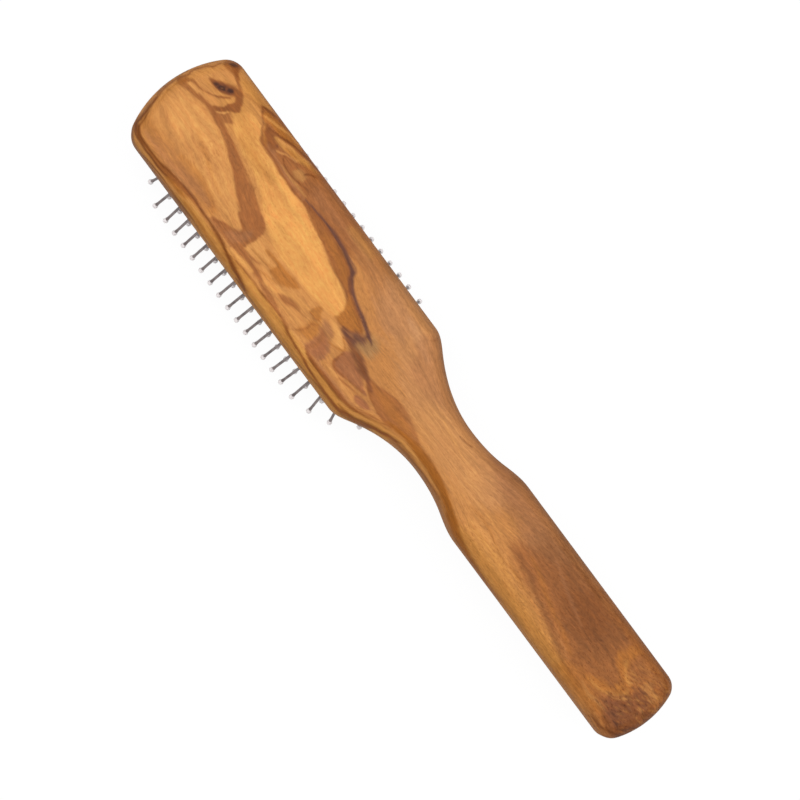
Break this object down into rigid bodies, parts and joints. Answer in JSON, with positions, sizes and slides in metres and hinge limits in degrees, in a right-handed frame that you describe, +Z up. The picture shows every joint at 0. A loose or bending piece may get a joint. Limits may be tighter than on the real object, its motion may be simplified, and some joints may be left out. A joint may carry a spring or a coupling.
{
  "type": "pin brush",
  "caption": "Wooden brush with a waisted handle and ball-tipped steel pins that fan out from a domed rubber air cushion.",
  "frame": {"origin": "on the surface that the lowest pin tips stand on, under the middle of the brush's length and width", "axes": "+X from the head to the end of the handle, +Y across the brush, +Z up, out of the flat wooden back"},
  "size_m": [0.225, 0.0484, 0.0355],
  "materials": {
    "wood": "oiled satin",
    "rubber": "matte",
    "steel": "polished"
  },
  "bodies": {
    "root": {"wooden_body": "wood", "rubber_cushion": "rubber", "pin_row_01": "steel", "pin_row_02": "steel", "pin_row_03": "steel", "pin_row_04": "steel", "pin_row_05": "steel", "pin_row_06": "steel", "pin_row_07": "steel", "pin_row_08": "steel", "pin_row_09": "steel", "pin_row_10": "steel", "pin_row_11": "steel", "pin_row_12": "steel", "pin_row_13": "steel", "pin_row_14": "steel", "pin_row_15": "steel", "pin_row_16": "steel", "pin_row_17": "steel", "pin_row_18": "steel", "pin_row_19": "steel", "pin_row_20": "steel", "pin_row_21": "steel", "pin_row_22": "steel"}
  },
  "joints": []
}
